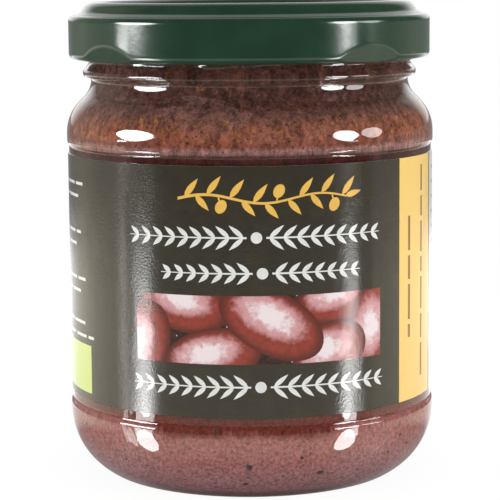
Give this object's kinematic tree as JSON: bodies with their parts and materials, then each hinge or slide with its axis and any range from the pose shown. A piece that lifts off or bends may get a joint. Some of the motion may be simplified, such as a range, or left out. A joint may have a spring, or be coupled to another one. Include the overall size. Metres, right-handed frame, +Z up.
{
  "type": "jar of olive tapenade",
  "caption": "Round clear glass jar filled with dark olive paste, closed by a green twist-off lid and wrapped in a printed paper label.",
  "frame": {"origin": "middle of the jar's foot ring, on the surface it stands on", "axes": "+Z up along the jar's axis; -Y out of the middle of the label's front; +X to the right seen from the front"},
  "size_m": [0.0684, 0.0684, 0.0875],
  "materials": {
    "glass": "clear, polished",
    "lid_lacquer": "gloss",
    "paste": "moist, grainy",
    "label_print": "varnished, semi-gloss"
  },
  "bodies": {
    "root": {"jar": "glass", "lid": "lid_lacquer", "tapenade": "paste", "label": "label_print"}
  },
  "joints": []
}
